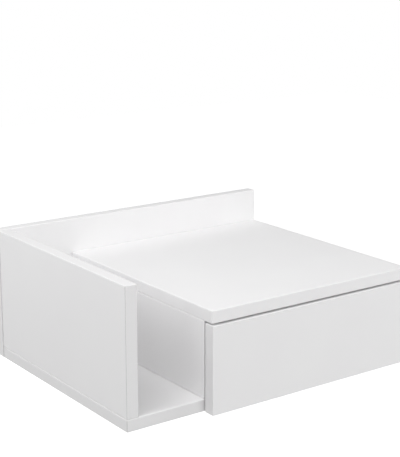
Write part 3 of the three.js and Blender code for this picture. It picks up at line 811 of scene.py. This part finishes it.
for side, hand, wall in (("left", 1, "divider_panel"), ("right", -1, "right_side_panel")):
    outer, inner, cage = (f"slide_{part}_{side}" for part in ("outer", "inner", "cage"))
    low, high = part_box(outer)
    face, height = (low.x if hand == 1 else high.x), (low.z + high.z) / 2
    ball_v = (high.z - low.z) / 2 - sheet / 2 - race_radius

    # Outer channel: round the balls' far side, then a bend into the web on the carcass.
    web, flange = sheet / 2, (high.z - low.z) / 2 - sheet / 2
    race = arc((ball_u, ball_v), race_radius, lip_end, math.pi / 2, arc_steps)
    middle = (web + outer_bend, flange - outer_bend)
    corner = arc(middle, outer_bend, math.pi / 2, math.pi, bend_steps)
    channel = folded(np.concatenate([race, corner]), sheet, low.y, high.y)
    mesh = soften(solid(outer, on_slide(channel, face, hand, height)))
    add_piece(f"{outer}_rolled", outer, "carcass", "zinc_steel", mesh, strip)
    tab_end = (cage_web + cage_sheet, low.y + sheet, stop_half)
    tab = rounded_block((web, low.y, -stop_half), tab_end, stop_round)
    carve([outer], [on_slide(tab, face, hand, height)], strip, "UNION")

    # Inner channel: round the balls' near side, a flat shoulder, then a bend into the web on the drawer.
    low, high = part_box(inner)
    web, shoulder = slide_thick - sheet / 2, ball_v - shoulder_drop
    dip = math.asin(shoulder_drop / race_radius)
    race = arc((ball_u, ball_v), race_radius, dip - math.pi, -dip, arc_steps)
    middle = (web - inner_bend, shoulder - inner_bend)
    corner = arc(middle, inner_bend, math.pi / 2, 0, bend_steps)
    channel = folded(np.concatenate([race, corner]), sheet, low.y, high.y)
    mesh = soften(solid(inner, on_slide(channel, face, hand, height)))
    add_piece(f"{inner}_rolled", inner, "drawer", "zinc_steel", mesh, strip)
    tab = rounded_block((cage_web, high.y - sheet, -stop_half), (web, high.y, stop_half), stop_round)
    carve([inner], [on_slide(tab, face, hand, height)], strip, "UNION")

    # Spare holes and slots between the two screws of each channel, at shares of its length.
    # Each is cut by a slab that is laid with its height along U and its length along Y.
    for node, u in ((outer, sheet / 2), (inner, slide_thick - sheet / 2)):
        low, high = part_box(node)
        for share, half in spare_holes:
            hole = slab(spare_hole, half, spare_hole, -2 * sheet, 2 * sheet, 0, spare_steps)
            hole = hole[..., [2, 1, 0]] + np.array((u, low.y + share * (high.y - low.y), 0))
            carve([node], [on_slide(hole, face, hand, height)], strip)

    # Cage: a strip bent to a C, with a row of balls in each flange.
    low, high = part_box(cage)
    lip = (ball_u + ball_radius * cage_lip_share, ball_v)
    corner = arc((cage_web + cage_bend, ball_v - cage_bend), cage_bend, math.pi / 2, math.pi, bend_steps)
    channel = folded(np.concatenate([[lip], corner]), cage_sheet, low.y, high.y)
    mesh = soften(solid(cage, on_slide(channel, face, hand, height)))
    body = f"cage_{side}"
    add_piece(f"{cage}_with_balls", cage, body, "zinc_steel", mesh, strip)
    angle = np.linspace(0, math.pi, ball_rows)
    ball = lathe(ball_radius * np.stack([np.sin(angle), -np.cos(angle)], axis=1), ball_sides)
    first = (low.y + high.y) / 2 - (balls_in_row - 1) / 2 * ball_pitch
    balls = [
        on_slide(ball + np.array((ball_u, first + at * ball_pitch, row * ball_v)), face, hand, height)
        for row in (-1, 1)
        for at in range(balls_in_row)
    ]
    carve([cage], balls, polished, "UNION")

    towards_wall, towards_drawer = (left, right) if hand == 1 else (right, left)
    for row in ("front", "rear"):
        node = f"slide_outer_{side}_{row}_screw"
        add_screw(node, outer_screw, "carcass", towards_wall, [wall], [outer])
        node = f"slide_inner_{side}_{row}_screw"
        add_screw(node, inner_screw, "drawer", towards_drawer, [f"drawer_side_{side}"], [inner])

# Push-to-open latch: a grey nylon housing screwed to the back panel, with a sprung white plunger in its
# barrel. Both are injection-moulded, so their edges are eased and their surface is finely etched.
# The plunger's cap meets a small pressed steel plate on the drawer's back.
flange_thick = 3 * mm
flange_corner = 3 * mm
flange_ease = 0.4 * mm
barrel_radius = 6.5 * mm
barrel_ease = 1 * mm
web_half_long = 12 * mm
web_half_thick = 0.8 * mm
web_corner = 0.4 * mm
web_rise = 12 * mm
mouth_chamfer = 0.8 * mm
mouth_depth = 0.5 * mm
plunger_radius = 3.5 * mm
plunger_ease = 0.6 * mm
cap_thick = 3 * mm
cap_ease = 0.4 * mm
cap_flat_inset = 1.2 * mm
cap_crown = ((0.35 * mm, 0.3 * mm), (0, 1 * mm))
plate_rim = 0.25 * mm
dimple_radius = 1.6 * mm
dimple_floor = 1.2 * mm
dimple_depth = 0.3 * mm
nylon_grey = "#8B8F93"
nylon_grey_shade = "#7F8387"
nylon_white = "#E4E4E1"
nylon_white_shade = "#DCDCD8"
latch_screw = {**slide_screw, "rise": 1.8 * mm, "length": 15 * mm}


def nylon(name, colour, shade):
    """Moulded nylon: a soft sheen over a fine spark-eroded texture, with a slightly uneven tone."""
    return patterned(
        name,
        (colour, shade),
        spots={"Scale": 1 / (12 * mm)},
        grain={"Scale": 1 / (0.4 * mm), "Detail": 2.0},
        relief=(0.4, 0.03 * mm),
        surface={"Roughness": 0.45, "IOR": 1.53},
    )


grey_nylon = nylon("moulded_grey_nylon", nylon_grey, nylon_grey_shade)
white_nylon = nylon("moulded_white_nylon", nylon_white, nylon_white_shade)

node = "latch_housing"
low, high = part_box(node)
long = high.y - low.y
half_high, half_wide = (high.z - low.z) / 2, (high.x - low.x) / 2
flange = slab(half_high, half_wide, flange_corner, 0, flange_thick, flange_ease)
mesh = soften(solid(node, placed(flange, node, forward, long)))
add_piece(f"{node}_moulded", node, "carcass", "grey_nylon", mesh, grey_nylon)
barrel = lathe(
    [
        [barrel_radius, flange_thick / 2],
        [barrel_radius, long - barrel_ease],
        [barrel_radius - 0.3 * barrel_ease, long - 0.3 * barrel_ease],
        [barrel_radius - barrel_ease, long],
    ],
    wide_sides,
)
web = slab(web_half_long, web_half_thick, web_corner, flange_thick / 2, web_rise)
for shape in (barrel, web):
    carve([node], [placed(shape, node, forward, long)], grey_nylon, "UNION")
bore_radius = plunger_radius + clearance
bore = lathe(
    [
        [bore_radius, flange_thick],
        [bore_radius, long - mouth_depth],
        [bore_radius + mouth_chamfer, long + clearance],
    ],
    entry_sides,
)
carve([node], [placed(bore, node, forward, long)], grey_nylon)
for end in ("upper", "lower"):
    add_screw(f"latch_{end}_screw", latch_screw, "carcass", rearward, ["back_panel"], ["latch_housing"])

node = "latch_plunger"
low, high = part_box(node)
cap_radius, long = (high.x - low.x) / 2, high.y - low.y
profile = [
    [0, 0],
    [cap_radius - cap_flat_inset, 0],
    *[[cap_radius - inset, depth] for inset, depth in cap_crown],
    [cap_radius, cap_thick - cap_ease],
    [cap_radius - cap_ease, cap_thick],
    [plunger_radius, cap_thick],
    [plunger_radius, long - plunger_ease],
    [plunger_radius - plunger_ease, long],
    [0, long],
]
mesh = soften(solid(node, placed(lathe(profile, wide_sides), node, rearward, long)))
add_piece(f"{node}_moulded", node, "plunger", "white_nylon", mesh, white_nylon)

node = "latch_strike_plate"
low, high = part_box(node)
radius, thick = (high.x - low.x) / 2, high.y - low.y
profile = [
    [0, 0],
    [radius, 0],
    [radius, thick - plate_rim],
    [radius - plate_rim, thick],
    [dimple_radius, thick],
    [dimple_floor, thick - dimple_depth],
    [0, thick - dimple_depth],
]
mesh = soften(solid(node, placed(lathe(profile, wide_sides), node, rearward, thick)))
add_piece(f"{node}_pressed", node, "drawer", "zinc_steel", mesh, zinc_plate)

# Studio: a plain pale floor well below the hanging nightstand, which keeps its soft shadow, and whose glow,
# dimmer beneath it, paints a grey pool of shade there.
# It and the world are white to the camera and in reflections, and the world lights the object evenly.
floor_half = 4.0
floor_drop = 0.45
floor_grey = "#BEBEBE"
# The glow's ramp paints shade: the floor is dimmer near its middle, below the object, than far away.
floor_glow_with_painted_pool = {"From Min": 0.25, "From Max": 1.1, "To Min": 0.65, "To Max": 1.0}
sky_level = 0.21
softbox_size = 1.2
rear_softbox_size = 0.5
softbox_distance = 1.5


def seen_rays(owner):
    """1 for rays of the camera, of reflections and of clear pieces, and 0 for those that light the object."""
    ray = add_node(owner, "LightPath").outputs
    seen = add_node(owner, "Math", {0: ray["Is Camera Ray"], 1: ray["Is Glossy Ray"]}, operation="ADD")
    seen = add_node(owner, "Math", {0: seen.outputs[0], 1: ray["Is Transmission Ray"]}, operation="ADD")
    return seen.outputs[0]


floor_height = cad_box[0].z - floor_drop
corners = [(x * floor_half, y * floor_half, floor_height) for x, y in ((-1, -1), (1, -1), (1, 1), (-1, 1))]
floor_mesh = bpy.data.meshes.new("studio_floor")
floor_mesh.from_pydata(corners, [], [(0, 1, 2, 3)])
floor = bpy.data.objects.new("studio_floor", floor_mesh)
bpy.context.scene.collection.objects.link(floor)
# The floor's own glow is weaker below the object, so that its real shadow shows there, and the dimmer glow
# paints a soft grey pool of shade around it.
paint = new_material("pale_studio_floor")
place = add_node(paint, "TexCoord")
flat = add_node(paint, "VectorMath", {0: place.outputs["Object"], 1: (1, 1, 0)}, operation="MULTIPLY")
away = add_node(paint, "VectorMath", {0: flat.outputs["Vector"]}, operation="LENGTH")
level = add_node(paint, "MapRange", {"Value": away.outputs["Value"], **floor_glow_with_painted_pool})
glow = add_node(paint, "Math", {0: seen_rays(paint), 1: level.outputs["Result"]}, operation="MULTIPLY")
matt = add_node(paint, "BsdfDiffuse", {"Color": linear(floor_grey)})
white = add_node(paint, "Emission", {"Strength": glow.outputs[0]})
both = add_node(paint, "AddShader", {0: matt.outputs["BSDF"], 1: white.outputs["Emission"]})
add_node(paint, "OutputMaterial", {"Surface": both.outputs["Shader"]})
floor_mesh.materials.append(paint)

world = bpy.data.worlds.new("studio_world")
world.use_nodes = True
world.node_tree.nodes.clear()
bpy.context.scene.world = world
level = add_node(world, "MapRange", {"Value": seen_rays(world), "To Min": sky_level, "To Max": 1.0})
white = add_node(world, "Background", {"Color": linear("#FFFFFF"), "Strength": level.outputs["Result"]})
add_node(world, "OutputWorld", {"Surface": white.outputs["Background"]})


def add_softbox(name, azimuth, elevation, power, size=softbox_size):
    """A square softbox turned to the nightstand's middle. Azimuth 0 is in front of it and 90 to its right."""
    middle = (cad_box[0] + cad_box[1]) / 2
    turn, rise = math.radians(azimuth), math.radians(elevation)
    towards = Vector((math.sin(turn) * math.cos(rise), -math.cos(turn) * math.cos(rise), math.sin(rise)))
    lamp = bpy.data.lights.new(name, "AREA")
    lamp.size, lamp.energy = size, power
    box = bpy.data.objects.new(name, lamp)
    box.location = middle + towards * softbox_distance
    box.rotation_euler = towards.to_track_quat("Z", "Y").to_euler()
    bpy.context.scene.collection.objects.link(box)


add_softbox("low_front_softbox", 5, 5, 3.1)
add_softbox("front_softbox", 5, 25, 5.3)
add_softbox("high_left_softbox", -52, 50, 8.6)
add_softbox("left_softbox", -92, 43, 10.4)
add_softbox("rear_left_softbox", -165, 5, 3.2)
add_softbox("rear_softbox", 170, -10, 5.5, rear_softbox_size)
add_softbox("right_softbox", 75, 9, 10.8)

# Camera: to the left of the nightstand and a little above it, as in the photograph, with a long lens.
camera_place = (-0.847, -1.332, 0.394)
camera_dip = math.radians(14.21)
camera_turn = math.radians(-35.85)
camera_lens = 95.95
camera = bpy.data.objects.new("camera", bpy.data.cameras.new("camera"))
camera.location = camera_place
camera.rotation_euler = (math.pi / 2 - camera_dip, 0, camera_turn)
camera.data.lens = camera_lens
bpy.context.scene.collection.objects.link(camera)
bpy.context.scene.camera = camera
bpy.context.scene.view_settings.view_transform = "Standard"

bpy.context.view_layer.update()
